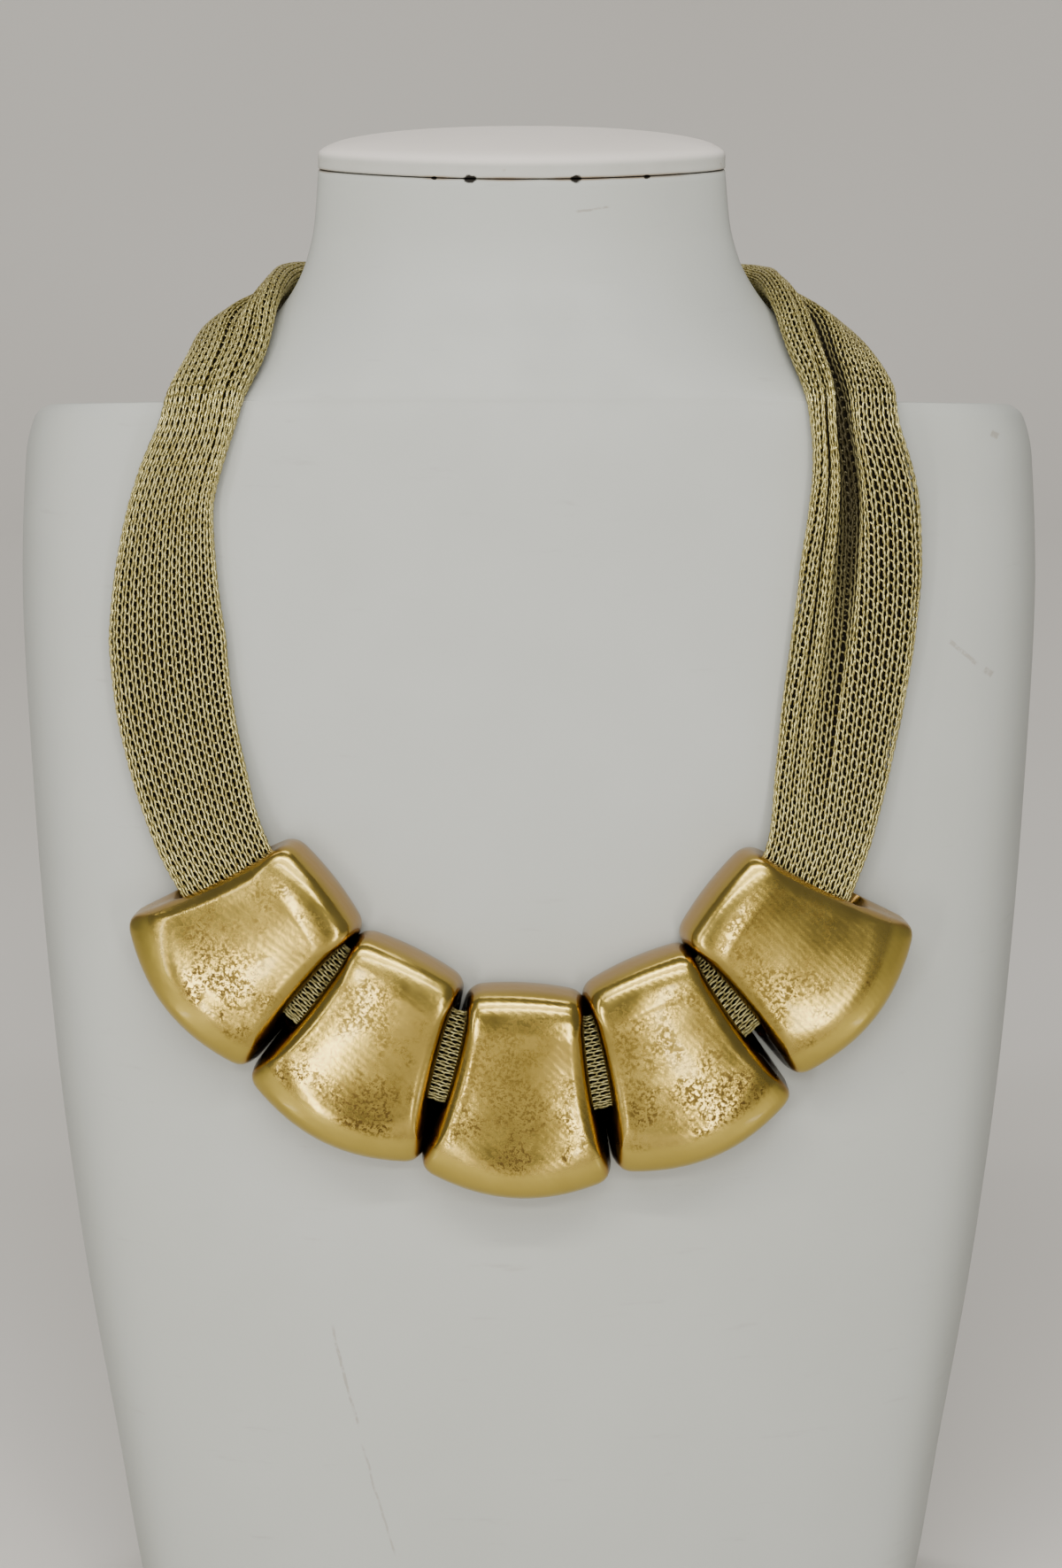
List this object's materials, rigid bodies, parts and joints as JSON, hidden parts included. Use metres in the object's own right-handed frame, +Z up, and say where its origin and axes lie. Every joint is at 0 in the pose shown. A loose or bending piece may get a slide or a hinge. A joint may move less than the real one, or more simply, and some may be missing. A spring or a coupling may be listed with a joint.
{
  "type": "bib necklace on a plain neck bust",
  "caption": "Bib necklace of keystone-shaped antique gold beads on a knitted metal mesh band, shown on a plain pale neck bust.",
  "frame": {"origin": "middle of the bust's flat base", "axes": "+Z up the bust towards its cap, -Y out of the chest, +X to the right of someone facing the chest"},
  "size_m": [0.2452, 0.1233, 0.3767],
  "materials": {
    "bust_skin": "matte",
    "cap_skin": "matte",
    "antique_gold": "antique gold plating with dark patina",
    "knit_wire": "knitted champagne wire"
  },
  "bodies": {
    "root": {"bust_body": "bust_skin", "bust_cap": "cap_skin", "bead_left_end": "antique_gold", "bead_left_inner": "antique_gold", "bead_middle": "antique_gold", "bead_right_inner": "antique_gold", "bead_right_end": "antique_gold", "mesh_band": "knit_wire", "clasp": "antique_gold"}
  },
  "joints": []
}
